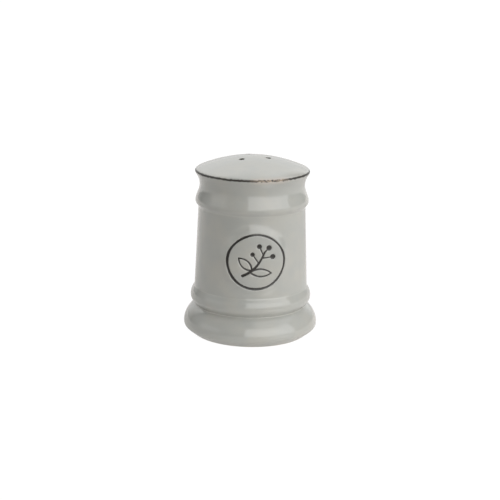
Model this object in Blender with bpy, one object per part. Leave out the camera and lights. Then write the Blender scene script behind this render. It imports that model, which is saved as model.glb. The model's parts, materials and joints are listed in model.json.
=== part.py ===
"""Ceramic pepper shaker with a soft stopper in its base.

The body is one slip-cast, glazed shell, turned from a single profile: a domed top with shaking holes,
a lip, a hollow neck, two beads, a tapering wall with a raised medallion, and a heavy rounded base on a
foot ring. A ribbed silicone stopper closes the filling hole underneath.

Metres, +Z up, table at z = 0, turning axis on Z. The medallion faces -Y.
"""

from math import cos, hypot, pi, radians, sin, sqrt

import bmesh
import bpy
from mathutils import Matrix, Vector
from mathutils.geometry import interpolate_bezier

# Overall height; the plain wall takes up what the mouldings leave of it
HEIGHT = 0.0800

# Base and groove
FOOT_R = 0.0262
BASE_R = 0.0300
BASE_BELLY = 0.00555
BASE_HEIGHT = 0.01315
GROOVE_R = 0.0248

# Lower bead, tapering wall and upper bead
LOWER_BEAD_R = 0.0269
LOWER_BEAD_BELLY = 0.0053
LOWER_BEAD_HEIGHT = 0.00855
WALL_FOOT_R = 0.0253
WALL_HEAD_R = 0.0238
UPPER_BEAD_R = 0.02515
UPPER_BEAD_BELLY = 0.0035

# Neck, lip and dome
NECK_R = 0.02335
NECK_RISE = 0.0056
LIP_R = 0.0255
LIP_RISE = 0.0063
SHOULDER_R = 0.0242
SHOULDER_RISE = 0.0016
CROWN_RISE = 0.00525
CROWN_FULLNESS = 1.75

# How steeply a moulding runs into its crease or onto the table, in degrees off level
BASE_CREASE_ANGLE = 62.0
BASE_FOOT_ANGLE = 41.0
LOWER_BEAD_UNDER_ANGLE = 50.0
LOWER_BEAD_TOP_ANGLE = 50.0
UPPER_BEAD_UNDER_ANGLE = 60.0

# Hollow inside
CAST_WALL = 0.0038
BASE_WALL = 0.0070
POCKET_ROUND = 0.0018
CHAMBER_ROUND = 0.0030

# Underside
FOOT_RING = 0.0040
FOOT_RECESS = 0.0030
FOOT_DRAFT = 0.0006
FLOOR = 0.0045
FILLING_R = 0.0110

# Shaking holes
HOLE_R = 0.00115
HOLE_CIRCLE_R = 0.0070
HOLE_COUNT = 3
HOLE_TURN = 12.5

# Medallion: a raised round pad with a soft shoulder and one engraved ring, a little below mid-wall
MEDALLION_R = 0.0156
MEDALLION_DROP = 0.0017
PAD_PROUD = 0.0006
PAD_SHOULDER = 0.0029
PAD_SINK = 0.0003
PAD_ROOT = 0.0012
RING_R = 0.01215
RING_WIDTH = 0.0009
RING_DEPTH = 0.00035

# Stopper
FIT = 0.0003
FLANGE_LAP = 0.0022
FLANGE_THICK = 0.0016
FLANGE_EDGE = 0.0004
PLUG_INSIDE = 0.0026
PLUG_CHAMFER = 0.0010
RIB_COUNT = 3
RIB_DEPTH = 0.0006
RIB_SHARE = 0.7
STOPPER_WALL = 0.0020
STOPPER_ROOF = 0.0018
GRIP_THICK = 0.0022
GRIP_SETBACK = 0.0006
GRIP_ROOT = 0.0009
GRIP_ROUND = 0.0006

# Facets
TURN_STEPS = 64
STOPPER_STEPS = 48
HOLE_STEPS = 20
PAD_STEPS = 64
SHARP_ANGLE = 35.0

# Bezier handle lengths, as shares of the run that they bend
QUARTER = 0.5523
CREASE_PULL = 0.41
LIP_TOP_PULL = 0.5
LIP_EDGE_PULL = 0.1
NECK_TOP_PULL = 0.55
NECK_PULL = 0.42
CHAMBER_PULL = 0.4

# Length by which a hole's cutter runs past the wall, and distance at which points are one
PASS = 0.002
SAME = 0.0000005

# Heights of the profile's stations, up from the table and down from the crown
Z_GROOVE = BASE_HEIGHT
Z_LOWER_BEAD = Z_GROOVE + LOWER_BEAD_BELLY
Z_WALL_FOOT = Z_GROOVE + LOWER_BEAD_HEIGHT
Z_SHOULDER = HEIGHT - CROWN_RISE
Z_LIP = Z_SHOULDER - SHOULDER_RISE
Z_NECK = Z_LIP - LIP_RISE
Z_UPPER_BEAD = Z_NECK - NECK_RISE
Z_WALL_HEAD = Z_UPPER_BEAD - UPPER_BEAD_BELLY
Z_MEDALLION = (Z_WALL_FOOT + Z_WALL_HEAD) / 2.0 - MEDALLION_DROP
Z_FLOOR = FOOT_RECESS + FLOOR


def clear_scene():
    """Remove every object of the scene."""
    for item in list(bpy.data.objects):
        bpy.data.objects.remove(item, do_unlink=True)


def finish(name, colour, roughness):
    """A plain Principled material; colour is linear RGB."""
    made = bpy.data.materials.new(name)
    made.use_nodes = True
    shader = made.node_tree.nodes["Principled BSDF"]
    shader.inputs["Base Color"].default_value = (*colour, 1.0)
    shader.inputs["Roughness"].default_value = roughness
    shader.inputs["Metallic"].default_value = 0.0
    return made


def piece_from(name, shape, coat=None):
    """Turn a bmesh into a smooth-shaded object, with its creases kept sharp."""
    bmesh.ops.recalc_face_normals(shape, faces=shape.faces)
    mesh = bpy.data.meshes.new(name)
    shape.to_mesh(mesh)
    shape.free()
    mesh.shade_smooth()
    mesh.set_sharp_from_angle(angle=radians(SHARP_ANGLE))
    if coat:
        mesh.materials.append(coat)
    item = bpy.data.objects.new(name, mesh)
    bpy.context.scene.collection.objects.link(item)
    return item


def as_cutter(item):
    """Mark an object as a construction shape and not a piece."""
    item.hide_render = True
    item.display_type = 'WIRE'
    return item


def combine(item, other, operation):
    """Add a construction shape to an object, or cut it out."""
    step = item.modifiers.new(other.name, 'BOOLEAN')
    step.operation = operation
    step.solver = 'EXACT'
    step.object = other


def point(radius, height):
    """A profile point: distance from the axis and height."""
    return Vector((radius, 0.0, height))


def rise(length):
    """A handle that points straight up, or down where length is negative."""
    return Vector((0.0, 0.0, length))


def reach(length):
    """A handle that points straight out from the axis."""
    return Vector((length, 0.0, 0.0))


def curve(start, start_pull, end_pull, end, steps):
    """Points of a bezier from start to end, both included."""
    return interpolate_bezier(start, start + start_pull, end + end_pull, end, steps + 1)


def chain(*runs):
    """Join runs of points into one profile, dropping the repeated ends."""
    profile = []
    for run in runs:
        for spot in run:
            if not profile or (spot - profile[-1]).length > SAME:
                profile.append(spot)
    return profile


def flank(belly, crease, angle, steps):
    """Side of a moulding, from its upright widest point to the crease where it ends."""
    inwards = belly.x - crease.x
    climb = crease.z - belly.z
    side = 1.0 if climb > 0.0 else -1.0
    lean = Vector((cos(radians(angle)), 0.0, -side * sin(radians(angle))))
    pull = lean * CREASE_PULL * hypot(inwards, climb)
    return curve(belly, rise(QUARTER * climb), pull, crease, steps)


def upright(start, end, pull, steps):
    """S-curve between two stations where the profile runs straight up."""
    climb = (end.z - start.z) * pull
    return curve(start, rise(climb), rise(-climb), end, steps)


def turned(name, profile, steps, coat=None):
    """Turn a profile whose two ends lie on the axis into a closed body."""
    shape = bmesh.new()
    spots = [shape.verts.new(spot) for spot in profile]
    edges = [shape.edges.new(pair) for pair in zip(spots, spots[1:])]
    bmesh.ops.spin(shape, geom=spots + edges, cent=(0.0, 0.0, 0.0), axis=(0.0, 0.0, 1.0),
                   angle=2.0 * pi, steps=steps, use_merge=True)
    bmesh.ops.remove_doubles(shape, verts=shape.verts, dist=SAME)
    return piece_from(name, shape, coat)


def dome_height(radius):
    """Outer height of the dome above the table at a distance from the axis."""
    return HEIGHT - CROWN_RISE * (radius / SHOULDER_R) ** CROWN_FULLNESS


def dome_run(edge_radius, drop, steps):
    """Dome points from the axis outwards, lowered by drop."""
    radii = [edge_radius * step / steps for step in range(steps + 1)]
    return [point(radius, dome_height(radius) - drop) for radius in radii]


def outer_profile():
    """Outside of the body from crown to foot."""
    shoulder = point(SHOULDER_R, Z_SHOULDER)
    lip = point(LIP_R, Z_LIP)
    neck = point(NECK_R, Z_NECK)
    upper_bead = point(UPPER_BEAD_R, Z_UPPER_BEAD)
    wall_head = point(WALL_HEAD_R, Z_WALL_HEAD)
    wall_foot = point(WALL_FOOT_R, Z_WALL_FOOT)
    lower_bead = point(LOWER_BEAD_R, Z_LOWER_BEAD)
    groove = point(GROOVE_R, Z_GROOVE)
    base = point(BASE_R, BASE_BELLY)
    foot = point(FOOT_R, 0.0)

    dome_slope = CROWN_FULLNESS * CROWN_RISE / SHOULDER_R
    over_lip = Vector((1.0, 0.0, -dome_slope)).normalized() * (LIP_R - SHOULDER_R) * LIP_TOP_PULL
    under_lip = Vector((-1.0, 0.0, -1.0)) * LIP_RISE * LIP_EDGE_PULL
    return chain(
        dome_run(SHOULDER_R, 0.0, 6),
        curve(shoulder, over_lip, rise(SHOULDER_RISE * LIP_TOP_PULL), lip, 3),
        curve(lip, under_lip, rise(LIP_RISE * NECK_TOP_PULL), neck, 5),
        upright(neck, upper_bead, NECK_PULL, 5),
        flank(upper_bead, wall_head, UPPER_BEAD_UNDER_ANGLE, 4),
        [wall_head, wall_foot],
        flank(lower_bead, wall_foot, LOWER_BEAD_TOP_ANGLE, 4)[::-1],
        flank(lower_bead, groove, LOWER_BEAD_UNDER_ANGLE, 5),
        flank(base, groove, BASE_CREASE_ANGLE, 6)[::-1],
        flank(base, foot, BASE_FOOT_ANGLE, 6),
    )


def underside_profile():
    """Foot ring, recess and the filling hole up to the chamber's floor."""
    foot_inner_r = FOOT_R - FOOT_RING
    return [
        point(foot_inner_r, 0.0),
        point(foot_inner_r - FOOT_DRAFT, FOOT_RECESS),
        point(FILLING_R, FOOT_RECESS),
        point(FILLING_R, Z_FLOOR),
    ]


def chamber_profile():
    """Inside of the cast wall from the floor to under the crown."""
    pocket = point(BASE_R - BASE_WALL, Z_FLOOR + POCKET_ROUND)
    pocket_floor = point(pocket.x - POCKET_ROUND, Z_FLOOR)
    waist = point(GROOVE_R - CAST_WALL, Z_GROOVE)
    wall_foot = point(WALL_FOOT_R - CAST_WALL, Z_WALL_FOOT)
    wall_head = point(WALL_HEAD_R - CAST_WALL, Z_WALL_HEAD)
    neck = point(NECK_R - CAST_WALL, Z_NECK)
    dome_edge_r = neck.x - CHAMBER_ROUND
    dome_edge = point(dome_edge_r, dome_height(dome_edge_r) - CAST_WALL)
    round_up = rise(QUARTER * (dome_edge.z - neck.z))
    return chain(
        curve(pocket_floor, reach(QUARTER * POCKET_ROUND), rise(-QUARTER * POCKET_ROUND), pocket, 2),
        upright(pocket, waist, CHAMBER_PULL, 3),
        upright(waist, wall_foot, CHAMBER_PULL, 3),
        [wall_foot, wall_head],
        upright(wall_head, neck, CHAMBER_PULL, 2),
        curve(neck, round_up, reach(QUARTER * CHAMBER_ROUND), dome_edge, 4),
        dome_run(dome_edge_r, CAST_WALL, 4)[::-1],
    )


def wall_radius(height):
    """Outer radius of the tapering wall at a height."""
    taper = (WALL_HEAD_R - WALL_FOOT_R) / (Z_WALL_HEAD - Z_WALL_FOOT)
    return WALL_FOOT_R + taper * (height - Z_WALL_FOOT)


def medallion_pad():
    """Turn the medallion as a flat coin, then wrap it onto the tapering wall."""
    half_ring = RING_WIDTH / 2.0
    field_steps = 4
    field_edge = RING_R - half_ring
    field = [point(field_edge * step / field_steps, PAD_PROUD) for step in range(field_steps + 1)]
    ring = [point(RING_R, PAD_PROUD - RING_DEPTH), point(RING_R + half_ring, PAD_PROUD)]
    shoulder_steps = 3
    shoulder = []
    for step in range(shoulder_steps + 1):
        share = step / shoulder_steps
        fall = (PAD_PROUD + PAD_SINK) * share ** 2
        shoulder.append(point(MEDALLION_R - PAD_SHOULDER * (1.0 - share), PAD_PROUD - fall))
    root = [point(MEDALLION_R, -PAD_ROOT), point(0.0, -PAD_ROOT)]
    coin = turned("medallion_pad", chain(field, ring, shoulder, root), PAD_STEPS)
    for vertex in coin.data.vertices:
        across, up, off = vertex.co
        height = Z_MEDALLION + up
        radius = wall_radius(height) + off
        vertex.co = (across, -sqrt(radius ** 2 - across ** 2), height)
    return as_cutter(coin)


def shaking_holes():
    """Upright drills on a circle round the crown, one for each shaking hole."""
    low = dome_height(HOLE_CIRCLE_R + HOLE_R) - CAST_WALL - PASS
    high = HEIGHT + PASS
    shape = bmesh.new()
    for index in range(HOLE_COUNT):
        turn = radians(HOLE_TURN) + pi * (2 * index + 1) / HOLE_COUNT
        spot = Vector((HOLE_CIRCLE_R * sin(turn), -HOLE_CIRCLE_R * cos(turn), (low + high) / 2.0))
        bmesh.ops.create_cone(shape, cap_ends=True, segments=HOLE_STEPS, radius1=HOLE_R, radius2=HOLE_R,
                              depth=high - low, matrix=Matrix.Translation(spot))
    return as_cutter(piece_from("shaking_holes", shape))


def ceramic_body(coat):
    """The hollow cast body, with its medallion raised and its shaking holes drilled."""
    profile = chain(outer_profile(), underside_profile(), chamber_profile())
    body = turned("ceramic_body", profile, TURN_STEPS, coat)
    combine(body, medallion_pad(), 'UNION')
    combine(body, shaking_holes(), 'DIFFERENCE')
    return body


def plug_profile(z_top, z_seat, core_r):
    """Side of the plug from its top edge down to the flange, with its sealing ribs."""
    profile = [point(core_r - PLUG_CHAMFER, z_top), point(core_r, z_top - PLUG_CHAMFER)]
    pitch = FLOOR / RIB_COUNT
    half_root = pitch * RIB_SHARE / 2.0
    half_crest = half_root / 3.0
    for index in range(RIB_COUNT):
        middle = Z_FLOOR - pitch * (index + 0.5)
        profile += [
            point(core_r, middle + half_root),
            point(core_r + RIB_DEPTH, middle + half_crest),
            point(core_r + RIB_DEPTH, middle - half_crest),
            point(core_r, middle - half_root),
        ]
    return profile + [point(core_r, z_seat)]


def base_stopper(coat):
    """Soft stopper: flange under the floor, ribbed plug in the hole, hollow with a grip across it."""
    z_top = Z_FLOOR + PLUG_INSIDE
    z_seat = FOOT_RECESS - FIT
    z_low = z_seat - FLANGE_THICK
    z_roof = z_top - STOPPER_ROOF
    core_r = FILLING_R - FIT - RIB_DEPTH
    flange_r = FILLING_R + FLANGE_LAP
    hollow_r = core_r - STOPPER_WALL
    profile = chain([point(0.0, z_top)], plug_profile(z_top, z_seat, core_r), [
        point(flange_r - FLANGE_EDGE, z_seat),
        point(flange_r, z_seat - FLANGE_EDGE),
        point(flange_r, z_low + FLANGE_EDGE),
        point(flange_r - FLANGE_EDGE, z_low),
        point(hollow_r, z_low),
        point(hollow_r, z_roof),
        point(0.0, z_roof),
    ])
    stopper = turned("base_stopper", profile, STOPPER_STEPS, coat)

    grip_low = z_low + GRIP_SETBACK
    grip_high = z_roof + GRIP_ROOT
    shape = bmesh.new()
    bmesh.ops.create_cube(shape, size=1.0)
    bmesh.ops.scale(shape, verts=shape.verts,
                    vec=(2.0 * (hollow_r + GRIP_ROOT), GRIP_THICK, grip_high - grip_low))
    bmesh.ops.translate(shape, verts=shape.verts, vec=(0.0, 0.0, (grip_low + grip_high) / 2.0))
    grip = as_cutter(piece_from("stopper_grip", shape))
    rounding = grip.modifiers.new("rounding", 'BEVEL')
    rounding.width = GRIP_ROUND
    rounding.segments = 2
    combine(stopper, grip, 'UNION')
    return stopper


def main():
    clear_scene()
    glaze = finish("grey_glazed_ceramic", (0.40, 0.39, 0.36), 0.18)
    silicone = finish("clear_silicone", (0.72, 0.71, 0.67), 0.45)
    shaker = bpy.data.objects.new("pepper_shaker", None)
    bpy.context.scene.collection.objects.link(shaker)
    for piece in (ceramic_body(glaze), base_stopper(silicone)):
        piece.parent = shaker


main()
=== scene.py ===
# %% [markdown]
# # A glazed pepper shaker
#
# The real shaker is one hollow body, cast from liquid clay in a plaster mould, dipped in a grey glaze and
# fired. A soft stopper closes the filling hole underneath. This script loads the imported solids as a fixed
# frame, makes a fine surface for each of the two pieces from formulas, gives each its finish, and sets up a
# small studio.
#
# The formulas work in millimetres, as a potter's drawing does. MM turns them into Blender's metres at the
# moment that a mesh is made, so no number has to be converted by hand.

# %% Load the frame
import json
from math import cos, radians, sin

import bpy
import numpy as np
from mathutils import Matrix, Vector

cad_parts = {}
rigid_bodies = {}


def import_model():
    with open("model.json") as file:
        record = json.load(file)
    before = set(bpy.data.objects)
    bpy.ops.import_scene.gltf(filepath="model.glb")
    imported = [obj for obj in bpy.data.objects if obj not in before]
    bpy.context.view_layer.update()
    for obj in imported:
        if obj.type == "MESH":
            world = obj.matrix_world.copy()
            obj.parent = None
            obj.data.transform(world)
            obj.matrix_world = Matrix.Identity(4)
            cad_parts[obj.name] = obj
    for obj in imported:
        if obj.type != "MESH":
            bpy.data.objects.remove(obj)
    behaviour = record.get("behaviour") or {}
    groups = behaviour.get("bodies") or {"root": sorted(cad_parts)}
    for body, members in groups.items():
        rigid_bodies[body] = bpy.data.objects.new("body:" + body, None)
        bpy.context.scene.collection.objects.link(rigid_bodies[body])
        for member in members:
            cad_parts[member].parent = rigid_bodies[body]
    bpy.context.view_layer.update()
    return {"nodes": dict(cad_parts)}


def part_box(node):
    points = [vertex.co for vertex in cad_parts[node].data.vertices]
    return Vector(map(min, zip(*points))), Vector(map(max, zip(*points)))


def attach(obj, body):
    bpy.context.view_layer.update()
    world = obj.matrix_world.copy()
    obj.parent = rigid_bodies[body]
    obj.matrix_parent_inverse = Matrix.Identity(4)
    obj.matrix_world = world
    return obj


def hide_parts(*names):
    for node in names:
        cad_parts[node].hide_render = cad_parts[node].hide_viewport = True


MM = 0.001
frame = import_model()
_, body_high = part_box("ceramic_body")
HEIGHT = body_high.z / MM
BASE_R = body_high.x / MM
print(f"frame: {sorted(frame['nodes'])}, {HEIGHT:.1f} mm tall, {2 * BASE_R:.1f} mm across the base")

# %% [markdown]
# ## The outline
#
# A turned pot is drawn as half an outline: distance from the axis against height. Straight lines and circle
# arcs would do for a machine part, but a modelled moulding swells and runs out softly, and a cubic bezier
# gives that with two handles. Each run below is one moulding of the pot, read from the crown to the foot.

# %% Bezier runs
QUARTER = 0.5523  # handle share that makes a quarter circle


def bezier(start, start_pull, end_pull, end, steps=80):
    """Cubic bezier A(1-t)^3 + 3B t(1-t)^2 + 3C t^2(1-t) + D t^3, with the handles B = A + start_pull and
    C = D + end_pull."""
    a, d = np.array(start, float), np.array(end, float)
    b, c = a + start_pull, d + end_pull
    t = np.linspace(0.0, 1.0, steps)[:, None]
    return a * (1 - t) ** 3 + 3 * b * t * (1 - t) ** 2 + 3 * c * t ** 2 * (1 - t) + d * t ** 3


def flank(belly, crease, angle, belly_pull, crease_pull):
    """Side of a moulding: upright at its belly, and sloping by angle degrees where it meets its crease. The
    pulls are handle lengths, as shares of the climb and of the straight way between the two."""
    inwards, climb = belly[0] - crease[0], crease[1] - belly[1]
    lean = np.array([cos(radians(angle)), -np.sign(climb) * sin(radians(angle))])
    return bezier(belly, (0, belly_pull * climb), lean * crease_pull * np.hypot(inwards, climb), crease)


def upright(start, end, start_pull, end_pull):
    """S-curve between two places where the outline runs straight up."""
    climb = end[1] - start[1]
    return bezier(start, (0, climb * start_pull), (0, -climb * end_pull), end)


quarter = bezier((1, 0), (0, QUARTER), (QUARTER, 0), (0, 1))
print(f"a bezier's quarter circle is round to {np.abs(np.hypot(*quarter.T) - 1).max():.4f} of its radius")

# %% [markdown]
# ## Stations of the outline
#
# The stations are the places where one moulding hands over to the next: belly, crease, neck, lip. The height
# and the base radius come from the frame itself. The others lie near the solid's own: to a quarter of a
# millimetre from the dome to the wall, a third at the lower bead and the foot, and 0.7 mm in the groove and
# on the slope below it. Within that, each moulding is as full as the highlights in the picture show it, for
# a glossy surface tells its slope.

# %% Stations in millimetres
CROWN_RISE, CROWN_FULLNESS, SHOULDER_R = 5.25, 1.95, 24.2  # the dome's rise, its power and its edge
shoulder = (SHOULDER_R, HEIGHT - CROWN_RISE)
lip = (25.5, shoulder[1] - 1.6)
neck = (23.35, lip[1] - 5.95)
upper_bead = (25.15, neck[1] - 6.35)
wall_head = (23.8, upper_bead[1] - 3.0)
groove = (24.8, 13.15)
lower_bead = (26.9, groove[1] + 4.95)
wall_foot = (25.3, groove[1] + 8.3)
base = (BASE_R, 4.6)
foot = (25.9, 0.0)
print(f"lip {lip[1]:.1f} mm up, wall from {wall_foot[1]:.1f} to {wall_head[1]:.1f} mm")

# %% [markdown]
# ## Runs of the outside
#
# The dome is a power curve: a power of 2 makes a plain bowl, and a little less makes the crown a touch more
# pointed. The lip rolls over in two short curves, and every other run is the side of a moulding. The plain
# wall needs no run: it is the straight line from the end of one run to the start of the next.

# %% Outside runs from crown to foot
LIP_OVER, LIP_DOWN, LIP_UNDER, NECK_PULL = 0.5, 0.5, 0.1, 0.55  # handle lengths round the lip, as shares


def dome_height(radius):
    """Height of the dome over the table: the crown less CROWN_RISE times (radius / shoulder) to the power of
    CROWN_FULLNESS."""
    return HEIGHT - CROWN_RISE * (np.abs(radius) / SHOULDER_R) ** CROWN_FULLNESS


def dome_run(edge, drop):
    """Dome outline from the axis out to an edge, lowered by drop."""
    radius = np.linspace(0.0, edge, 120)
    return np.column_stack([radius, dome_height(radius) - drop])


dome_slope = CROWN_FULLNESS * CROWN_RISE / SHOULDER_R
over_lip = np.array([1, -dome_slope]) / np.hypot(1, dome_slope) * (lip[0] - SHOULDER_R) * LIP_OVER
lip_rise = lip[1] - neck[1]
outside = [
    dome_run(SHOULDER_R, 0.0),
    bezier(shoulder, over_lip, (0, LIP_DOWN * (shoulder[1] - lip[1])), lip),
    bezier(lip, (-LIP_UNDER * lip_rise, -LIP_UNDER * lip_rise), (0, NECK_PULL * lip_rise), neck),
    upright(neck, upper_bead, 0.35, 0.22),
    flank(upper_bead, wall_head, 56, 0.64, 0.75),
    flank(lower_bead, wall_foot, 47, 0.12, 0.46)[::-1],
    flank(lower_bead, groove, 41, 0.14, 0.72),
    flank(base, groove, 25.5, 0.477, 0.236)[::-1],
    flank(base, foot, 44, 0.46, 0.66),
]
print(f"outside: {len(outside)} runs, wall {wall_head[1] - wall_foot[1]:.1f} mm high")

# %% [markdown]
# ## Underside and chamber
#
# Turned upside down, the pot shows a flat foot ring, a shallow recess and the filling hole. Inside, the wall
# follows the outside at the thickness that the plaster drew from the slip, so the chamber narrows at the
# groove and swells at the base. One closed outline from the outer crown round to the inner crown makes the
# whole body.

# %% Hidden runs
CAST_WALL, BASE_WALL = 3.8, 7.0  # the even wall, and the heavier one of the base
FOOT_RING, FOOT_RECESS, FOOT_DRAFT = 4.0, 3.0, 0.6  # the ring's width, its depth inside and its lean there
FLOOR_TOP, FILLING_R = 7.5, 11.0
POCKET_ROUND, CHAMBER_ROUND, INNER_PULL = 1.8, 3.0, 0.4  # corner rounds below and above, and a handle share
foot_inner = foot[0] - FOOT_RING
underside = np.array([
    (foot_inner, 0.0),
    (foot_inner - FOOT_DRAFT, FOOT_RECESS),
    (FILLING_R, FOOT_RECESS),
    (FILLING_R, FLOOR_TOP),
])
pocket = (BASE_R - BASE_WALL, FLOOR_TOP + POCKET_ROUND)
waist = (groove[0] - CAST_WALL, groove[1])
inner_foot = (wall_foot[0] - CAST_WALL, wall_foot[1])
inner_head = (wall_head[0] - CAST_WALL, wall_head[1])
inner_neck = (neck[0] - CAST_WALL, neck[1])
dome_edge = inner_neck[0] - CHAMBER_ROUND
inner_dome = dome_run(dome_edge, CAST_WALL)[::-1]
inside = [
    bezier((pocket[0] - POCKET_ROUND, FLOOR_TOP), (QUARTER * POCKET_ROUND, 0),
           (0, -QUARTER * POCKET_ROUND), pocket),
    upright(pocket, waist, INNER_PULL, INNER_PULL),
    upright(waist, inner_foot, INNER_PULL, INNER_PULL),
    upright(inner_head, inner_neck, INNER_PULL, INNER_PULL),
    bezier(inner_neck, (0, QUARTER * (inner_dome[0, 1] - inner_neck[1])), (QUARTER * CHAMBER_ROUND, 0),
           inner_dome[0]),
    inner_dome,
]
raw_outline = np.vstack([*outside, underside, *inside])
print(f"closed outline: {len(raw_outline)} points")

# %% [markdown]
# ## What glaze does to an outline
#
# Molten glaze creeps away from edges and gathers in creases, so no corner of a glazed pot is sharp.
# Averaging the outline along its own length under a bell curve does just that. The difference between the
# soft outline and the sharp one is then a fair measure of how thick the glaze lies, and it later makes the
# colour paler in the creases: partly the glaze's own pooling, partly painted light that lifts their shade.

# %% Soften the outline
STEP = 0.05        # spacing of the evenly spread outline points
GLAZE_BLUR = 0.45  # width of the bell curve


def evenly(line, gap):
    """Points every gap along a line: both coordinates read off against the length run so far."""
    run = np.concatenate([[0.0], np.cumsum(np.hypot(*np.diff(line, axis=0).T))])
    at = np.linspace(0.0, run[-1], int(run[-1] / gap) + 1)
    return np.column_stack([np.interp(at, run, line[:, 0]), np.interp(at, run, line[:, 1])])


def softened(line, gap, blur):
    """Each point averaged with its neighbours, weighed by exp(-(distance / blur)^2 / 2).

    Past each pole the line goes on as its mirror image, so radius changes sign there and height doesn't."""
    reach = int(4 * blur / gap)
    bell = np.exp(-0.5 * (np.arange(-reach, reach + 1) * gap / blur) ** 2)
    bell /= bell.sum()
    radius = np.pad(line[:, 0], reach, mode="reflect", reflect_type="odd")
    height = np.pad(line[:, 1], reach, mode="reflect")
    return np.column_stack([np.convolve(radius, bell, "valid"), np.convolve(height, bell, "valid")])


sharp = evenly(raw_outline, STEP)
outline = softened(sharp, STEP, GLAZE_BLUR)
along = np.gradient(outline, axis=0)
along /= np.hypot(*along.T)[:, None]
glaze_gain = np.sum((outline - sharp) * np.column_stack([-along[:, 1], along[:, 0]]), axis=1)
print(f"outline {len(outline) * STEP:.0f} mm long, glaze gains {glaze_gain.max():.2f} mm in creases"
      f" and loses {-glaze_gain.min():.2f} mm on edges")

# %% [markdown]
# ## Rows and columns where they are needed
#
# A mesh should spend its points where the form bends. The spacing of the rows is a fixed turn of the outline
# divided by its curvature, kept between a fine and a coarse limit. The plain wall hardly bends, but it
# carries the medallion, so there the rows are as close as its engraved lines need. The columns are as close
# across the medallion, and ease to a coarse spacing round the back.

# %% Rows of the body
ROW_TURN, FINEST, COARSEST, COARSEST_INSIDE = radians(7.0), 0.12, 1.0, 2.5
RING_R, PAD_R = 12.11, 15.5  # the medallion's engraved ring, and the outer edge of its raised pad
PAD_DROP = 1.35              # how far the medallion sits below the middle of the wall
FIELD_GAP = 0.22             # spacing in the medallion
FIELD_INSET = 1.5            # its close rows end this far inside the pad's edge
medallion_z = (wall_foot[1] + wall_head[1]) / 2 - PAD_DROP


def nearest(place):
    """Index of the outline point nearest to a place."""
    return int(np.argmin(np.hypot(*(outline - place).T)))


def spread(gaps, step):
    """Positions whose spacing follows gaps, a wanted spacing at every step of a line: the running sum of
    step / gap counts the intervals, and equal counts are read back as positions."""
    count = np.concatenate([[0.0], np.cumsum(step / gaps[:-1])])
    wanted = np.linspace(0.0, count[-1], int(np.ceil(count[-1])) + 1)
    return np.interp(wanted, count, np.arange(len(gaps)))


bend = np.abs(np.gradient(np.unwrap(np.arctan2(along[:, 1], along[:, 0])))) / STEP
coarse = np.full(len(outline), COARSEST)
coarse[nearest(underside[1]):] = COARSEST_INSIDE
row_gap = np.clip(ROW_TURN / np.maximum(bend, 1e-6), FINEST, coarse)
field_top = nearest((wall_head[0], medallion_z + PAD_R - FIELD_INSET))
field_foot = nearest((wall_foot[0], medallion_z - PAD_R + FIELD_INSET))
row_gap[field_top:field_foot] = np.minimum(row_gap[field_top:field_foot], FIELD_GAP)
rows = spread(row_gap, STEP)[1:-1]
print(f"{len(rows)} rows, {field_foot - field_top} outline points beside the medallion")

# %% Columns of the body
TURN_GAP, TURN_DEGREES = radians(4.0), 0.02  # widest column, and the step that columns are measured in
FIELD_MARGIN, FIELD_EASE = 0.8, 0.2          # close columns go this far past the ring, then ease, in radians
turn = np.arange(-180.0, 180.0, TURN_DEGREES) * np.pi / 180
field_half = np.arcsin((RING_R + FIELD_MARGIN) / wall_head[0])
column_gap = np.interp(np.abs(turn), [field_half, field_half + FIELD_EASE],
                       [FIELD_GAP / wall_foot[0], TURN_GAP])
columns = np.interp(spread(column_gap, radians(TURN_DEGREES))[:-1], np.arange(len(turn)), turn)
print(f"{len(columns)} columns, so about {2 * len(rows) * len(columns)} triangles in the body's grid")

# %% [markdown]
# ## The medallion's drawing
#
# On the front, a round pad stands a little proud of the wall, with a soft shoulder, a cut ring near its edge
# and a small drawing of a peppercorn sprig. A picture could be laid on it, but lines worked out as distances
# stay sharp at any size: each function below says how far a spot lies inside its line. The same distance
# later cuts the line and stains it, so relief and colour can't drift apart.

# %% Distances to the drawn lines
RING_WIDTH, RING_SHAPE = 0.98, (1.0135, 0.9885)  # a touch wider than tall


def quadratic(a, b, c, steps=14):
    """Quadratic bezier A(1-t)^2 + 2B t(1-t) + C t^2."""
    t = np.linspace(0.0, 1.0, steps)[:, None]
    return np.array(a) * (1 - t) ** 2 + 2 * np.array(b) * t * (1 - t) + np.array(c) * t ** 2


def inside_stroke(spots, path, width_start, width_end):
    """How far each spot lies inside a stroke: half its width there, less the distance to the nearest piece
    of the path. The width runs evenly from start to end."""
    a, b = path[:-1], path[1:]
    piece = b - a
    share = np.sum((spots[:, None] - a) * piece, axis=2) / np.sum(piece ** 2, axis=1)
    share = np.clip(share, 0.0, 1.0)
    distance = np.linalg.norm(spots[:, None] - a - share[..., None] * piece, axis=2)
    width = width_start + (width_end - width_start) * (np.arange(len(a)) + share) / len(a)
    return np.max(width / 2 - distance, axis=1)


def leaf(spots, root, tip, bulge):
    """Outline of a leaf: two quadratic curves from root to tip, bulging to either side."""
    root, tip = np.array(root), np.array(tip)
    side = np.array([root[1] - tip[1], tip[0] - root[0]]) / np.linalg.norm(tip - root) * bulge
    middle = (root + tip) / 2
    edges = [quadratic(root, middle + side, tip), quadratic(root, middle - side, tip)]
    return np.max([inside_stroke(spots, edge, 0.85, 0.6) for edge in edges], axis=0)


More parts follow.
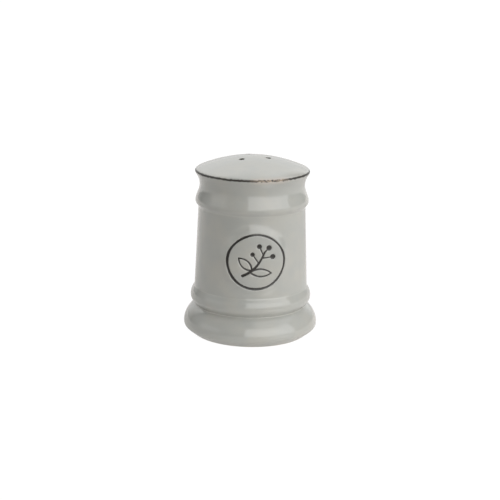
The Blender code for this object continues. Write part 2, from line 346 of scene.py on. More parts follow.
def sprig(spots):
    """How far each spot lies inside the drawn sprig: a curved stem, two leaves and four round corns, all in
    mm from the medallion's middle. A corn has its place, the stem point it grows from and its radius."""
    stem = quadratic((-5.9, -6.1), (0.6, -3.6), (3.6, 4.4), 24)
    corns = [((5.5, 6.2), 23, 1.2), ((1.3, 6.9), 21, 1.1), ((7.2, 2.3), 19, 1.15), ((-1.6, 3.4), 15, 1.0)]
    parts = [inside_stroke(spots, stem, 1.25, 0.8)]
    for place, joint, size in corns:
        stalk = np.array([stem[joint], place])
        parts.append(inside_stroke(spots, stalk, 0.6, 0.6))
        parts.append(size - np.linalg.norm(spots - place, axis=1))
    parts.append(leaf(spots, stem[8], (-7.6, 1.7), 3.4))
    parts.append(leaf(spots, stem[6], (6.6, -4.9), 3.3))
    return np.max(parts, axis=0)


def ring(spots):
    """How far each spot lies inside the hand-cut ring: half its width, less the distance to its middle. Both
    wander a little on the way round, as sines of the turn."""
    radius, around = np.hypot(*(spots / RING_SHAPE).T), np.arctan2(spots[:, 1], spots[:, 0])
    middle = RING_R + 0.07 * np.sin(2 * around + 0.6) + 0.05 * np.sin(5 * around)
    width = RING_WIDTH * (1 + 0.2 * np.cos(around + 2.7) + 0.08 * np.sin(7 * around))
    return width / 2 - np.abs(radius - middle)


ring_wide, ring_tall = (2 * RING_R * share for share in RING_SHAPE)
print(f"ring {ring_wide:.1f} mm wide and {ring_tall:.1f} mm tall, its line about {RING_WIDTH} mm")

# %% [markdown]
# ## The medallion's relief
#
# The pad and its lines could be cut from the finished mesh, but moving the grid's own points keeps one
# smooth skin. Each point of the front moves forward by the pad's height, which fades past the pad's edge
# under a bell curve, and back by the depth of a cut where it lies in a line. The height grows a little to
# the left and the right, which makes the pad flatter than the wall behind it.

# %% Body grid with the medallion raised and cut
PAD_PROUD, PAD_EDGE, PAD_FADE, PAD_FLAT = 0.8, 12.4, 2.2, 0.5
CUT_DEPTH, CUT_SLOPE = 0.38, 0.5   # depth of a line, and the width of its sloping side
FRONT_HALF, DRAWN_R = radians(65), RING_R + 1.5  # half the turn that the pad may reach, and where lines end
NOT_DRAWN = -9.0                   # stands for far outside any line


def ease(share):
    """Smooth step 3t^2 - 2t^3 from 0 to 1, level at both ends."""
    t = np.clip(share, 0.0, 1.0)
    return t * t * (3 - 2 * t)


row_index = np.arange(len(outline))
radius = np.interp(rows, row_index, outline[:, 0])[:, None]
height = np.interp(rows, row_index, outline[:, 1])[:, None] + 0 * columns
x, y = radius * np.sin(columns), -radius * np.cos(columns)

on_wall = (rows > nearest(wall_head)) & (rows < nearest(wall_foot))
front = on_wall[:, None] & (np.abs(columns) < FRONT_HALF)
spots = np.column_stack([x[front], height[front] - medallion_z])
reach = np.hypot(*spots.T)
pad = np.exp(-(np.maximum(reach - PAD_EDGE, 0.0) / PAD_FADE) ** 2)
drawn = np.full(len(spots), NOT_DRAWN)
near = reach < DRAWN_R
drawn[near] = np.maximum(ring(spots[near]), sprig(spots[near]))
cut = CUT_DEPTH * ease(0.5 + drawn / CUT_SLOPE)
proud = pad * (PAD_PROUD + PAD_FLAT * (spots[:, 0] / RING_R) ** 2) - cut
y[front] = -np.sqrt((np.broadcast_to(radius, x.shape)[front] + proud) ** 2 - spots[:, 0] ** 2)
print(f"medallion: {near.sum()} grid points, {(drawn > 0).sum()} of them in drawn lines")

# %% [markdown]
# ## From grid to mesh
#
# A grid that closes on itself round the axis needs only four kinds of index: this row or the next, this
# column or the next. The last column is joined to the first, and a fan of triangles closes each pole, so the
# mesh has no hole and no double point. What the materials need to know rides along as named values on the
# points. Each is 0 where it has nothing to say, because points that a later cut adds get 0.

# %% Closed skin from a grid


def skin(name, grid, pole_first, pole_last, **values):
    """Mesh object from a grid of points (rows, columns, 3) in mm, wrapped round and closed by a fan at each
    pole. values are named numbers on the grid; the poles get the mean of the row beside them."""
    count, wide = grid.shape[:2]
    points = np.vstack([grid.reshape(-1, 3), pole_first, pole_last]) * MM
    this = np.arange(wide)
    after = np.roll(this, -1)
    down = np.arange(count - 1)[:, None] * wide
    corners = [down + this, down + wide + this, down + wide + after, down + after]
    quads = np.stack(corners, axis=-1).reshape(-1, 4)
    top, bottom = count * wide, count * wide + 1
    last = (count - 1) * wide
    fans = np.vstack([
        np.column_stack([np.full(wide, top), this, after]),
        np.column_stack([np.full(wide, bottom), last + after, last + this]),
    ])
    mesh = bpy.data.meshes.new(name)
    mesh.from_pydata(points.tolist(), [], quads.tolist() + fans.tolist())
    mesh.shade_smooth()
    for label, number in values.items():
        flat = np.concatenate([number.ravel(), [number[0].mean(), number[-1].mean()]])
        mesh.attributes.new(label, 'FLOAT', 'POINT').data.foreach_set("value", flat.astype(np.float32))
    item = bpy.data.objects.new(name, mesh)
    bpy.context.scene.collection.objects.link(item)
    return item


def enclosed(item):
    """Volume inside a closed mesh in cubic centimetres, as the sum of its triangles' signed cones, and the
    count of its triangles."""
    mesh = item.data
    mesh.calc_loop_triangles()
    corners = np.zeros(len(mesh.loop_triangles) * 3, int)
    mesh.loop_triangles.foreach_get("vertices", corners)
    spots = np.zeros(len(mesh.vertices) * 3)
    mesh.vertices.foreach_get("co", spots)
    a, b, c = spots.reshape(-1, 3)[corners.reshape(-1, 3)].transpose(1, 0, 2) * 100
    return np.sum(np.cross(a, b) * c) / 6, len(mesh.loop_triangles)


# %% [markdown]
# ## Values that the finish reads
#
# A finish that follows the form needs to know where it is: how near the lip's worn line, the wiped foot and
# the drawn lines, and how thick the glaze. The first three are distances in mm: 0 farther off than a fixed
# reach, that reach on the line or edge itself, and more beyond it.

# %% Body mesh with its values
LIP_LINE, LIP_REACH = 0.8, 3.0   # the worn line runs this far above the lip's widest circle; its reach
FOOT_LAP, BARE_REACH = 0.3, 1.0  # bare clay runs this far past the foot ring; its reach
DRAWN_REACH = 1.0

lip_line = nearest(lip) - LIP_LINE / STEP
lip_near = np.clip((lip_line - rows) * STEP + LIP_REACH, 0.0, 2 * LIP_REACH)
foot_ends = (nearest(foot) - FOOT_LAP / STEP, nearest(underside[0]) + FOOT_LAP / STEP)
to_foot = np.maximum(foot_ends[0] - rows, rows - foot_ends[1]) * STEP
foot_near = np.clip(BARE_REACH - to_foot, 0.0, 2.0 * BARE_REACH)
line_near = np.zeros(x.shape)
line_near[front] = np.clip(drawn + DRAWN_REACH, 0.0, None)
glaze = np.interp(rows, row_index, glaze_gain)
glaze[rows > nearest(foot)] = 0.0
all_round = np.ones(len(columns))
body = skin(
    "ceramic_body_glazed", np.stack([x, y, height], axis=-1),
    (0, 0, outline[0, 1]), (0, 0, outline[-1, 1]),
    line=line_near, lip=np.outer(lip_near, all_round), bare=np.outer(foot_near, all_round),
    glaze=np.outer(glaze, all_round),
)
print("body: %.1f cm3 of clay, %d triangles" % enclosed(body))

# %% [markdown]
# ## Shaking holes
#
# The maker pushes a small tube through the soft dome, and the glaze rounds the edge. A cutter shaped like
# the bell of a trumpet gives that edge in one cut: straight in the wall, then opening in a quarter round
# until it lies along the dome. Its rows are measured down from the dome, so the round is even although the
# dome slopes.

# %% Cut the shaking holes
HOLE_R, HOLE_CIRCLE_R, HOLE_ROUND, HOLE_TURNS = 1.1, 7.0, 0.35, (72.5, 192.5, 312.5)
HOLE_SIDES, ROUND_END = 40, radians(80)
OVER_DOME, UNDER_DOME = 3, 2  # how far the cutter runs on past the dome and past the wall below it
opening = np.linspace(0.0, ROUND_END, 9)
bell_r = HOLE_R + HOLE_ROUND * (1 - np.cos(opening))
bell_z = HOLE_ROUND * (np.sin(opening) - 1)
leave = np.array([np.sin(ROUND_END), np.cos(ROUND_END)]) * OVER_DOME
trumpet_r = np.concatenate([[bell_r[-1] + leave[0]], bell_r[::-1], [HOLE_R]])
trumpet_z = np.concatenate([[bell_z[-1] + leave[1]], bell_z[::-1], [-CAST_WALL - UNDER_DOME]])


def trumpet(name, turn):
    """Cutter for one hole: a flared tube round an upright axis, with heights measured from the dome over
    it."""
    centre_x, centre_y = HOLE_CIRCLE_R * np.sin(turn), -HOLE_CIRCLE_R * np.cos(turn)
    around = np.linspace(-np.pi, np.pi, HOLE_SIDES, endpoint=False)
    across = centre_x + trumpet_r[:, None] * np.sin(around)
    deep = centre_y - trumpet_r[:, None] * np.cos(around)
    level = dome_height(np.hypot(across, deep)) + trumpet_z[:, None]
    middle = dome_height(HOLE_CIRCLE_R)
    return skin(name, np.stack([across, deep, level], axis=-1),
                (centre_x, centre_y, middle + trumpet_z[0]), (centre_x, centre_y, middle + trumpet_z[-1]))


def combine(item, tool, operation):
    """Run a Boolean on an object, keep its result as the object's mesh and remove the tool."""
    step = item.modifiers.new("combine", 'BOOLEAN')
    step.operation, step.object, step.solver = operation, tool, 'EXACT'
    result = bpy.data.meshes.new_from_object(item.evaluated_get(bpy.context.evaluated_depsgraph_get()))
    item.modifiers.clear()
    item.data = result
    bpy.data.objects.remove(tool)


for number, hole_turn in enumerate(HOLE_TURNS):
    combine(body, trumpet(f"hole_{number}", radians(hole_turn)), 'DIFFERENCE')
print("body with holes: %.1f cm3, %d triangles" % enclosed(body))

# %% [markdown]
# ## The stopper
#
# The stopper is moulded in soft silicone: a flange that lies under the floor, a plug with three sealing
# ribs, and a hollow with a bar across it to pull by. It is turned like the body, from an outline with plain
# corners, and the same softening rounds every edge as a mould does.

# %% Turned part of the stopper
FIT, FLANGE_LAP, FLANGE_THICK, FLANGE_EDGE = 0.3, 2.2, 1.6, 0.4
PLUG_INSIDE, PLUG_CHAMFER, RIB_COUNT, RIB_DEPTH, RIB_SHARE = 2.6, 1.0, 3, 0.6, 0.7
STOPPER_WALL, STOPPER_ROOF, MOULD_BLUR = 2.0, 1.8, 0.13
ROW_EVERY, SIDE_DEGREES = 3, 3.0  # a row for every third outline point, and a column for every 3 degrees
plug_top = FLOOR_TOP + PLUG_INSIDE
seat = FOOT_RECESS - FIT
flange_low = seat - FLANGE_THICK
roof = plug_top - STOPPER_ROOF
core_r = FILLING_R - FIT - RIB_DEPTH
flange_r = FILLING_R + FLANGE_LAP
hollow_r = core_r - STOPPER_WALL
rib_pitch = (FLOOR_TOP - FOOT_RECESS) / RIB_COUNT
plug_z = np.linspace(plug_top - PLUG_CHAMFER, seat, 160)
rib_phase = (FLOOR_TOP - plug_z) / rib_pitch
rib_swell = np.where((rib_phase > 0) & (rib_phase < RIB_COUNT),
                     ease((RIB_SHARE / 2 - np.abs(rib_phase % 1 - 0.5)) * 3 / RIB_SHARE), 0.0)
stopper_raw = np.vstack([
    [(0.0, plug_top), (core_r - PLUG_CHAMFER, plug_top)],
    np.column_stack([core_r + RIB_DEPTH * rib_swell, plug_z]),
    [(flange_r - FLANGE_EDGE, seat), (flange_r, seat - FLANGE_EDGE), (flange_r, flange_low + FLANGE_EDGE),
     (flange_r - FLANGE_EDGE, flange_low), (hollow_r, flange_low), (hollow_r, roof), (0.0, roof)],
])
stopper_line = softened(evenly(stopper_raw, STEP), STEP, MOULD_BLUR)
stopper_rows = np.arange(2, len(stopper_line) - 1, ROW_EVERY)
stopper_turn = np.radians(np.arange(-180, 180, SIDE_DEGREES))
ring_r, ring_z = stopper_line[stopper_rows].T[:, :, None]
stopper_x, stopper_y = ring_r * np.sin(stopper_turn), -ring_r * np.cos(stopper_turn)
stopper = skin(
    "base_stopper_silicone", np.stack([stopper_x, stopper_y, ring_z + 0 * stopper_turn], axis=-1),
    (0, 0, stopper_line[0, 1]), (0, 0, stopper_line[-1, 1]),
)
print("stopper turned: %.2f cm3, %d triangles" % enclosed(stopper))

# %% [markdown]
# ## The pull bar
#
# The bar is a beam with rounded corners that grows out of the hollow's sides and roof. Its section is a
# squircle, between a circle and a square, and it flares towards its ends, so that the rubber won't tear
# there. It runs a little way into the silicone, so that the union leaves no seam.

# %% Pull bar across the hollow
GRIP_THICK, GRIP_SETBACK, GRIP_ROOT, GRIP_FLARE, GRIP_POWER = 2.2, 0.6, 0.9, 0.45, 6
grip_low, grip_high = flange_low + GRIP_SETBACK, roof + GRIP_ROOT
grip_middle, grip_tall = (grip_low + grip_high) / 2, (grip_high - grip_low) / 2
grip_half = hollow_r + GRIP_ROOT
grip_x = np.linspace(-grip_half, grip_half, 41)[:, None]
grip_turn = np.linspace(-np.pi, np.pi, 48, endpoint=False)
sides = np.abs(np.cos(grip_turn)) ** GRIP_POWER + np.abs(np.sin(grip_turn)) ** GRIP_POWER
squircle = sides ** (-1 / GRIP_POWER)
grip_thick = GRIP_THICK / 2 + GRIP_FLARE * (grip_x / hollow_r) ** GRIP_POWER
grip_y = squircle * np.sin(grip_turn) * grip_thick
grip_z = grip_middle + squircle * np.cos(grip_turn) * grip_tall + 0 * grip_x
grip = skin(
    "pull_bar", np.stack([grip_x + 0 * grip_y, grip_y, grip_z], axis=-1),
    (-grip_half, 0, grip_middle), (grip_half, 0, grip_middle),
)
print("pull bar: %.2f cm3, %d triangles" % enclosed(grip))
combine(stopper, grip, 'UNION')
print("stopper with its bar: %.2f cm3, %d triangles" % enclosed(stopper))

# %% [markdown]
# ## Tools for the finishes
#
# A colour picked from a screen is sRGB, but light adds up in linear numbers, so one function converts.
# Pattern scales are easier to judge as sizes: a noise with one blob every few millimetres has a scale of one
# over that size, in metres. One helper adds a node with its settings and links, and every material is
# written with it.

# %% Colour, scale and node helpers
MIX_FACTOR, MIX_A, MIX_B, MIX_RESULT = 0, 6, 7, 2  # sockets of a Mix node between colours
FLOAT_A, FLOAT_B = 2, 3                            # and between plain numbers


def linear(code):
    """Linear RGBA of an sRGB hex code: c / 12.92 below 0.04045, and ((c + 0.055) / 1.055)^2.4 above."""
    c = np.array([int(code[i:i + 2], 16) for i in (1, 3, 5)]) / 255
    return (*np.where(c <= 0.04045, c / 12.92, ((c + 0.055) / 1.055) ** 2.4).tolist(), 1.0)


def per_mm(size):
    """Texture scale that gives a feature of that many millimetres on Object coordinates, in metres."""
    return 1.0 / (size * MM)


def add(tree, kind, links=None, **settings):
    """Add a node. settings are its own properties; links gives inputs, by name or number, a value or a
    socket."""
    made = tree.nodes.new("ShaderNode" + kind)
    for key, value in settings.items():
        setattr(made, key, value)
    for socket, value in (links or {}).items():
        if isinstance(value, bpy.types.NodeSocket):
            tree.links.new(value, made.inputs[socket])
        else:
            made.inputs[socket].default_value = value
    return made


def blank(name):
    """A new material with only its Principled shader and output: the material, its nodes and that shader."""
    made = bpy.data.materials.new(name)
    made.use_nodes = True
    return made, made.node_tree, made.node_tree.nodes["Principled BSDF"]


print(f"half of full sRGB is {linear('#808080')[0]:.3f} of full light")

# %% [markdown]
# ## Grey glazed earthenware
#
# A fired glaze is a thin glass over the clay: an even, clear gloss over a colour that shifts a little where
# the coat is thick or thin. Where it gathers in a crease it is paler: partly the glaze's own pooling, partly
# painted light that lifts the shade of the crease. The worn line on the lip is where the glaze ran off and
# the iron-stained body shows. The drawn lines hold dark stain, the insides of the shaking holes are painted
# with shade, and the foot ring was wiped clean before firing, so it is dull, pale clay.
#
# A picture could be painted for all this, but here every layer is a share from 0 to 1, worked out from the
# values on the mesh and a few noises. The layers are then laid over one another, the clay last.

# %% Patterns and values that the glaze reads
glaze_coat, tree, shader = blank("grey_glazed_earthenware")
coords = add(tree, "TexCoord").outputs["Object"]
cloud, fine, grain, peel = (
    add(tree, "TexNoise", {"Vector": coords, "Scale": per_mm(size), "Detail": detail}).outputs["Fac"]
    for size, detail in ((9, 3.0), (1.1, 4.0), (0.7, 1.0), (3.5, 2.0))  # sizes in mm
)
near_lip, near_line, near_foot, thick = (
    add(tree, "Attribute", attribute_name=name).outputs["Fac"] for name in ("lip", "line", "bare", "glaze")
)
print(f"{glaze_coat.name}: 4 noises and 4 values in {len(tree.nodes)} nodes")

# %% Where the coat is warm or thick
WARM_FROM, WARM_TO = 0.4, 0.65   # stretch of the cloudy noise over which the grey turns warm
# Creases where the glaze gathers turn paler: partly the glaze's own pooling, partly painted light that lifts
# the shade in them.
POOL_FROM, POOL_TO = 0.02, 0.16  # mm of glaze gained over which it turns pale
warm = add(tree, "MapRange", {"Value": cloud, "From Min": WARM_FROM, "From Max": WARM_TO}).outputs[0]
pooled_and_lit = add(tree, "MapRange", {"Value": thick, "From Min": POOL_FROM, "From Max": POOL_TO}).outputs[0]
print(f"glaze pales where it is {POOL_FROM} to {POOL_TO} mm thicker than its coat")

# %% [markdown]
# ## The worn lip
#
# The worn line is near black in most places. In one stretch at the front the coat round it is thin too, and
# there the line is speckled with tan. The line's edge is its distance on the mesh, pushed in and out by two
# noises, which makes it as ragged as wear is.

# %% Where the lip is worn
LIP_DARK, LIP_TAN = "#2B2721", "#8A7B68"
LIP_HALF, LIP_SOFT = 0.5, 0.1     # half the line's width, and half of where it fades
LIP_RAGGED, LIP_GRAIN = 0.6, 0.9  # how far the fine noise and the grain push its edge
THIN_SPOT = (5.67, -24.7, 73.9)   # middle of the tan stretch
THIN_FROM, THIN_TO, THIN_RAGGED = 9.5, 6.0, 8.0  # where that stretch fades, and how far the noise pushes it
HALO_FROM, HALO_TO, HALO = 2.6, 0.7, 0.75        # where the coat beside the line thins, and by how much
SPECK_FROM, SPECK_TO = 0.6, 0.48                 # stretch of the grain that is tan

spot = [c * MM for c in THIN_SPOT]
spot_off = add(tree, "VectorMath", {0: coords, 1: spot}, operation='DISTANCE').outputs["Value"]
spot_off = add(tree, "Math", {0: fine, 1: THIN_RAGGED * MM, 2: spot_off}, operation='MULTIPLY_ADD')
thin = add(tree, "MapRange", {"Value": spot_off.outputs[0], "From Min": (THIN_FROM + THIN_RAGGED / 2) * MM,
                              "From Max": (THIN_TO + THIN_RAGGED / 2) * MM}).outputs[0]

line_off = add(tree, "Math", {0: near_lip, 1: LIP_REACH}, operation='SUBTRACT').outputs[0]
line_off = add(tree, "Math", {0: line_off}, operation='ABSOLUTE').outputs[0]
halo = add(tree, "MapRange", {"Value": line_off, "From Min": HALO_FROM, "From Max": HALO_TO, "To Max": HALO})
halo = add(tree, "Math", {0: halo.outputs[0], 1: thin}, operation='MULTIPLY').outputs[0]

ragged = add(tree, "Math", {0: fine, 1: -LIP_RAGGED, 2: line_off}, operation='MULTIPLY_ADD').outputs[0]
ragged = add(tree, "Math", {0: grain, 1: -LIP_GRAIN, 2: ragged}, operation='MULTIPLY_ADD').outputs[0]
lip_edge = LIP_HALF - (LIP_RAGGED + LIP_GRAIN) / 2
worn = add(tree, "MapRange", {"Value": ragged, "From Min": lip_edge + LIP_SOFT,
                              "From Max": lip_edge - LIP_SOFT}).outputs[0]
speck = add(tree, "MapRange", {"Value": grain, "From Min": SPECK_FROM, "From Max": SPECK_TO})
speck = add(tree, "Math", {0: speck.outputs[0], 1: thin}, operation='MULTIPLY').outputs[0]
lip_colour = add(tree, "Mix", {MIX_FACTOR: speck, MIX_A: linear(LIP_DARK), MIX_B: linear(LIP_TAN)},
                 data_type='RGBA').outputs[MIX_RESULT]
print(f"worn line about {2 * LIP_HALF:.1f} mm wide, tan within {THIN_FROM} mm of its thin spot")

# %% [markdown]
# ## Holes, lines and foot
#
# Inside each hole the colour is darkened: painted shade. It falls where a point is nearer to the hole's axis
# than its radius, which the material can tell from the point's own place. The drawn lines and the wiped foot
# are read from the mesh, and the fine noise makes both edges a little uneven, as a brush and a sponge leave
# them.

# %% Where the holes get painted shade, and where it is stained or wiped
HOLE_SOFT = 0.2                      # the dark fades out this far past a hole's radius
LINE_RAGGED, LINE_SOFT = 0.16, 0.07  # how far the noise pushes a line's edge, and half of where it fades
WIPE_RAGGED, WIPE_SOFT = 0.5, 0.1    # likewise for the wiped foot
FAR_OFF = 1.0                        # metres, farther than any hole

flat_place = add(tree, "VectorMath", {0: coords, 1: (1, 1, 0)}, operation='MULTIPLY').outputs[0]
hole_off = FAR_OFF
for hole_turn in HOLE_TURNS:
    axis = [HOLE_CIRCLE_R * MM * c for c in (sin(radians(hole_turn)), -cos(radians(hole_turn)), 0)]
    off = add(tree, "VectorMath", {0: flat_place, 1: axis}, operation='DISTANCE').outputs["Value"]
    hole_off = add(tree, "Math", {0: off, 1: hole_off}, operation='MINIMUM').outputs[0]
# Painted shade inside the holes: dark within a hole's radius of its axis, fading over HOLE_SOFT past it.
hole_shade = add(tree, "MapRange", {"Value": hole_off, "From Min": (HOLE_R + HOLE_SOFT) * MM,
                                 "From Max": HOLE_R * MM}).outputs[0]
shares = []
for value, edge, push, soft in (
    (near_line, DRAWN_REACH, LINE_RAGGED, LINE_SOFT),
    (near_foot, BARE_REACH, WIPE_RAGGED, WIPE_SOFT),
):
    uneven = add(tree, "Math", {0: fine, 1: push, 2: value}, operation='MULTIPLY_ADD').outputs[0]
    middle = edge + push / 2
    made = add(tree, "MapRange", {"Value": uneven, "From Min": middle - soft, "From Max": middle + soft})
    shares.append(made.outputs[0])
stained, clay = shares
print(f"{len(HOLE_TURNS)} dark holes, {2 * HOLE_R:.1f} mm wide")

# %% [markdown]
# ## Layers, gloss and orange peel
#
# The gloss is that of glass, with an index of 1.6, the upper end for a glaze. Wear dulls it a little and
# bare clay a lot. A faint bump with waves of a few millimetres stands for the orange peel that a dipped
# glaze keeps.

# %% Lay the glaze over the clay
GLAZE, GLAZE_WARM, GLAZE_POOL_LIT, GLAZE_THIN = "#A3A49F", "#A8A7A0", "#AEAEA7", "#B8AFA5"
HOLE_SHADE, STAIN, CLAY = "#45433E", "#262420", "#D6CCBA"
GLOSS, WORN_DULL, CLAY_DULL = 0.09, 0.25, 0.55  # roughness of the glaze, and what wear and clay add to it
PEEL_STRENGTH, PEEL_DEPTH = 0.15, 0.05

colour = linear(GLAZE)
for share, layer in (
    (warm, linear(GLAZE_WARM)),
    (pooled_and_lit, linear(GLAZE_POOL_LIT)),
    (halo, linear(GLAZE_THIN)),
    (worn, lip_colour),
    (hole_shade, linear(HOLE_SHADE)),
    (stained, linear(STAIN)),
    (clay, linear(CLAY)),
):
    made = add(tree, "Mix", {MIX_FACTOR: share, MIX_A: colour, MIX_B: layer}, data_type='RGBA')
    colour = made.outputs[MIX_RESULT]
tree.links.new(colour, shader.inputs["Base Color"])
dull = add(tree, "Math", {0: worn, 1: WORN_DULL, 2: GLOSS}, operation='MULTIPLY_ADD').outputs[0]
dull = add(tree, "Math", {0: clay, 1: CLAY_DULL, 2: dull}, operation='MULTIPLY_ADD').outputs[0]
tree.links.new(dull, shader.inputs["Roughness"])
shader.inputs["IOR"].default_value = 1.6
bump = add(tree, "Bump", {"Height": peel, "Strength": PEEL_STRENGTH, "Distance": PEEL_DEPTH * MM})
tree.links.new(bump.outputs["Normal"], shader.inputs["Normal"])
print(f"{glaze_coat.name}: {len(tree.nodes)} nodes")

# %% [markdown]
# ## Milky silicone
#
# Uncoloured silicone rubber is cloudy: light sinks in a little way and comes out softened, and the surface
# has the satin of the mould. Subsurface scattering gives the cloudiness, and a fine noise varies the satin.

# %% Silicone material
MILKY, MILKY_PALE = "#D9D8D2", "#E3E1DA"
SATIN_LOW, SATIN_HIGH = 0.38, 0.52       # roughness of the satin
SATIN_STRENGTH, SATIN_DEPTH = 0.2, 0.03
SINK = (2.2, 2.0, 1.7)                   # how deep red, green and blue light sink in
silicone, tree, shader = blank("milky_silicone_rubber")
coords = add(tree, "TexCoord").outputs["Object"]
satin, tint = (
    add(tree, "TexNoise", {"Vector": coords, "Scale": per_mm(size), "Detail": detail}).outputs["Fac"]
    for size, detail in ((0.8, 3.0), (6, 2.0))  # sizes in mm
)
colour = add(tree, "Mix", {MIX_FACTOR: tint, MIX_A: linear(MILKY), MIX_B: linear(MILKY_PALE)},
             data_type='RGBA')
tree.links.new(colour.outputs[MIX_RESULT], shader.inputs["Base Color"])
rough = add(tree, "MapRange", {"Value": satin, "To Min": SATIN_LOW, "To Max": SATIN_HIGH})
tree.links.new(rough.outputs[0], shader.inputs["Roughness"])
shader.inputs["IOR"].default_value = 1.41
shader.inputs["Subsurface Weight"].default_value = 0.35
shader.inputs["Subsurface Radius"].default_value = [depth * MM for depth in SINK]
shader.inputs["Subsurface Scale"].default_value = 1.0
bump = add(tree, "Bump", {"Height": satin, "Strength": SATIN_STRENGTH, "Distance": SATIN_DEPTH * MM})
tree.links.new(bump.outputs["Normal"], shader.inputs["Normal"])
print(f"{silicone.name}: {len(tree.nodes)} nodes")

# %% [markdown]
# ## Onto the frame
#
# Each fine piece takes the place of its solid, gets its finish and rides on that solid's body: the pot on
# the shaker's, the stopper on the stopper's.

# %% Dress the frame
for piece, coat, node, body_name, slot in (
    (body, glaze_coat, "ceramic_body", "shaker", "glazed_ceramic"),
    (stopper, silicone, "base_stopper", "stopper", "silicone"),
):
    piece.data.materials.clear()
    piece.data.materials.append(coat)
    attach(piece, body_name)
    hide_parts(node)
    print(f"{piece.name} stands for {node} and rides on {body_name}")

# %% [markdown]
# ## The studio
#
# The picture to match was taken on white and cut out clean, so the surroundings are plain white for the
# camera. The light itself comes from panels painted on the sky. A lamp would light the pot as well, but a
# glossy glaze mirrors whatever lights it, and a panel gives each highlight its own place, size and edge.
# That is also how their places were found: a large softbox with a hotter middle at the right front makes the
# long highlights, a ceiling panel and a backdrop light the dome and the lip, and low, faint panels keep the
# left side from going dark.

# %% Light panels on the sky
CAMERA_TURN = radians(-5.05)  # the camera's own turn from the front, towards -X
WHITE = 1.05                  # what the camera sees of the sky: a touch over full white
scene = bpy.context.scene
scene.view_settings.view_transform = 'Standard'
world = bpy.data.worlds.new("white_studio")
world.use_nodes = True
scene.world = world
sky = world.node_tree
ray = add(sky, "TexCoord").outputs["Generated"]
rise = add(sky, "VectorMath", {0: ray, 1: (0, 0, 1)}, operation='DOT_PRODUCT').outputs["Value"]
rise = add(sky, "Math", {0: rise}, operation='ARCSINE').outputs[0]


def panel(turns, rises, strength, soft_turn, soft_rise):
    """Brightness of a panel: strength between two turns from the camera's side, to the right, and two rises,
    all in degrees. It fades over soft_turn at its sides and over soft_rise at its top and bottom."""
    middle = CAMERA_TURN + radians(sum(turns) / 2)
    ahead, across = (
        add(sky, "VectorMath", {0: ray, 1: direction}, operation='DOT_PRODUCT').outputs["Value"]
        for direction in ((sin(middle), -cos(middle), 0), (cos(middle), sin(middle), 0))
    )
    aside = add(sky, "Math", {0: across, 1: ahead}, operation='ARCTAN2').outputs[0]
    aside = add(sky, "Math", {0: aside}, operation='ABSOLUTE').outputs[0]
    share = strength
    for angle, edge, soft in (
        (aside, (turns[1] - turns[0]) / 2, -soft_turn),
        (rise, rises[0], soft_rise),
        (rise, rises[1], -soft_rise),
    ):
        ramp = add(sky, "MapRange", {"Value": angle, "From Min": radians(edge - soft / 2),
                                     "From Max": radians(edge + soft / 2)})
        share = add(sky, "Math", {0: ramp.outputs[0], 1: share}, operation='MULTIPLY').outputs[0]
    return share


panels = {
    "softbox at the right front": panel((-8, 82), (-19, 41), 2.05, 4, 4),
    "its hotter middle": panel((12, 66), (6, 31), 0.6, 8, 5),
    "ceiling": panel((9, 154), (41, 96), 1.3, 23, 10),
    "fill all along the left": panel((-170, -7), (9, 85), 0.31, 20, 30),
    "foot of the backdrop": panel((145, 223), (-2, 25), 1.0, 23, 17),
    "middle of the backdrop": panel((161, 231), (25, 57), 1.5, 6, 20),
    "head of the backdrop": panel((147, 204), (51, 81), 1.2, 25, 25),
    "low panel at the left": panel((-96, -54), (2, 24), 0.62, 6, 7),
    "tall panel at the left": panel((-118, -69), (-11, 70), 0.3, 21, 6),
    "fill at the right": panel((78, 162), (3, 46), 0.5, 9, 25),
}
light = 0.0
for brightness in panels.values():
    light = add(sky, "Math", {0: brightness, 1: light}, operation='ADD').outputs[0]
seen = add(sky, "LightPath").outputs["Is Camera Ray"]
strength = add(sky, "Mix", {MIX_FACTOR: seen, FLOAT_A: light, FLOAT_B: WHITE}, data_type='FLOAT')
sky.links.new(strength.outputs[0], sky.nodes["Background"].inputs["Strength"])
sky.nodes["Background"].inputs["Color"].default_value = (1, 1, 1, 1)
print(f"sky: {len(panels)} panels, {len(sky.nodes)} nodes")

# %% [markdown]
# ## The floor
#
# The floor is a white opal sheet that glows a little, as a light table does. The lower mouldings mirror it,
# so its light and shade count, and both are painted into it: painted light glows round the pot's foot and in
# a bright patch where the softbox would shine on it, and painted shade darkens it towards the left front and
# a little behind. To the camera the sheet is nearly clear and fades out within a hand's breadth: only a
# breath of shade is left at the foot. From below it is fully clear, so the stopper can be seen from there.

# %% Sheet of the floor
FLOOR_HALF, FLOOR_CELLS = 3.0, 8  # half its width in metres, and cells along each side
side = np.linspace(-FLOOR_HALF, FLOOR_HALF, FLOOR_CELLS + 1)
floor_x, floor_y = (part.ravel() for part in np.meshgrid(side, side))
start = (np.arange(FLOOR_CELLS)[:, None] * len(side) + np.arange(FLOOR_CELLS)).ravel()
cells = np.column_stack([start, start + 1, start + len(side) + 1, start + len(side)])
floor_mesh = bpy.data.meshes.new("floor")
floor_mesh.from_pydata(np.column_stack([floor_x, floor_y, 0 * floor_x]).tolist(), [], cells.tolist())
floor = bpy.data.objects.new("floor", floor_mesh)
scene.collection.objects.link(floor)
print(f"floor {2 * FLOOR_HALF:.0f} m across, {len(cells)} cells")

# %% Opal finish of the floor
OPAL, FLOOR_GLOW = "#F0EDEB", 0.1
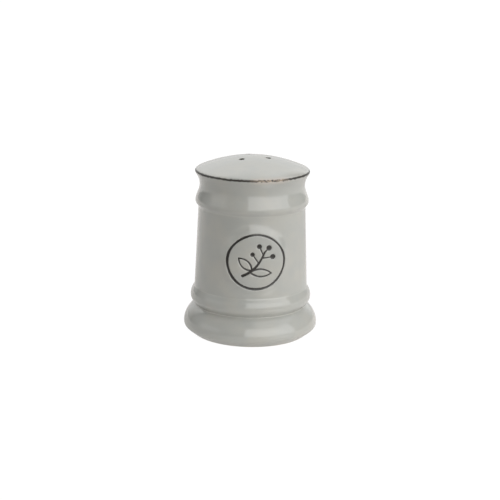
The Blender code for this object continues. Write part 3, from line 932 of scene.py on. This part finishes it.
# Painted light round the foot and under the softbox, painted shade at the left front and a little behind:
FOOT_GLOW_PLACE, FOOT_GLOW_REACH, FOOT_GLOW = (-4, -6, 0), 78, 0.3        # glow round the foot
PATCH_PLACE, PATCH_REACH, PATCH = (34, -55, 0), 31, 1.1    # under the softbox
LEFT_SHADE_PLACE, LEFT_SHADE_REACH, LEFT_SHADE = (-226, -350, 0), 590, 1.0   # dark at the left front
BACK_PLACE, BACK_REACH, BACK = (115, 150, 0), 220, 0.22    # dimmer behind
SHADE, SHADE_FROM, SHADE_TO = 0.07, 30, 110                # what the camera sees of it, and where that fades
opal, tree, shader = blank("opal_sheet")
shader.inputs["Roughness"].default_value = 0.9
shader.inputs["Specular IOR Level"].default_value = 0.1
place = add(tree, "TexCoord").outputs["Object"]


def disc(centre, reach, most):
    """Soft disc on the floor: most at its centre, easing to 0 at its reach in mm."""
    middle = [c * MM for c in centre]
    off = add(tree, "VectorMath", {0: place, 1: middle}, operation='DISTANCE').outputs["Value"]
    return add(tree, "MapRange", {"Value": off, "From Min": reach * MM, "From Max": 0.0, "To Max": most},
               interpolation_type='SMOOTHSTEP').outputs[0]


# Painted shade: the sheet's colour and glow darken towards the left front and a little behind.
left_painted_shade, back_painted_shade = disc(LEFT_SHADE_PLACE, LEFT_SHADE_REACH, LEFT_SHADE), disc(BACK_PLACE, BACK_REACH, BACK)
painted_floor_shade = add(tree, "Math", {0: left_painted_shade, 1: back_painted_shade}, operation='MAXIMUM').outputs[0]
tone = add(tree, "Mix", {MIX_FACTOR: painted_floor_shade, MIX_A: linear(OPAL), MIX_B: (0, 0, 0, 1)}, data_type='RGBA')
tree.links.new(tone.outputs[MIX_RESULT], shader.inputs["Base Color"])
lit = add(tree, "Math", {0: painted_floor_shade, 1: -FLOOR_GLOW, 2: FLOOR_GLOW}, operation='MULTIPLY_ADD').outputs[0]
# Painted light: more glow round the foot and in a patch under the softbox.
for glow in (disc(FOOT_GLOW_PLACE, FOOT_GLOW_REACH, FOOT_GLOW), disc(PATCH_PLACE, PATCH_REACH, PATCH)):
    lit = add(tree, "Math", {0: lit, 1: glow}, operation='ADD').outputs[0]
shader.inputs["Emission Color"].default_value = (1, 1, 1, 1)
tree.links.new(lit, shader.inputs["Emission Strength"])
print(f"{opal.name}: shaded for the camera within {SHADE_TO} mm")

# %% Clear sheet for the camera and from below
off = add(tree, "VectorMath", {0: place}, operation='LENGTH').outputs["Value"]
shade = add(tree, "MapRange", {"Value": off, "From Min": SHADE_FROM * MM, "From Max": SHADE_TO * MM,
                               "To Min": 1 - SHADE, "To Max": 1.0}).outputs[0]
under = add(tree, "NewGeometry").outputs["Backfacing"]
clear = add(tree, "Math", {0: shade, 1: under}, operation='MAXIMUM').outputs[0]
seen = add(tree, "LightPath").outputs["Is Camera Ray"]
clear = add(tree, "Math", {0: clear, 1: seen}, operation='MULTIPLY').outputs[0]
glass = add(tree, "BsdfTransparent")
sheet = add(tree, "MixShader", {0: clear, 1: shader.outputs[0], 2: glass.outputs[0]})
tree.links.new(sheet.outputs[0], tree.nodes["Material Output"].inputs["Surface"])
floor_mesh.materials.append(opal)
print(f"{opal.name}: {len(tree.nodes)} nodes")

# %% [markdown]
# ## Camera
#
# The camera stands where the photographer's stood: found by laying the turned outline over the picture. It
# looks down by about fifteen degrees through a long lens, a little from the left of the medallion, and leans
# by a degree.

# %% Place the camera
CAMERA_AWAY, CAMERA_UP, AIM_UP, AIM_LEFT = 592.8, 194.6, 37.11, 0.53
CAMERA_LEAN = 0.0166
FOCAL_PIXELS, FRAME_PIXELS, SENSOR = 1369.2, 500, 36.0
lens = bpy.data.cameras.new("camera")
lens.sensor_width = SENSOR
lens.lens = FOCAL_PIXELS / FRAME_PIXELS * SENSOR
camera = bpy.data.objects.new("camera", lens)
eye = Vector((CAMERA_AWAY * sin(CAMERA_TURN), -CAMERA_AWAY * cos(CAMERA_TURN), CAMERA_UP)) * MM
aim = Vector((-AIM_LEFT * cos(CAMERA_TURN), -AIM_LEFT * sin(CAMERA_TURN), AIM_UP)) * MM
look = (aim - eye).normalized()
level = look.cross(Vector((0, 0, 1))).normalized()
above = level.cross(look)
right = level * cos(CAMERA_LEAN) + above * sin(CAMERA_LEAN)
top = right.cross(look)
camera.matrix_world = Matrix.Translation(eye) @ Matrix((right, top, -look)).transposed().to_4x4()
scene.collection.objects.link(camera)
scene.camera = camera
print(f"camera {eye.length:.3f} m from the foot, lens {lens.lens:.1f} mm")
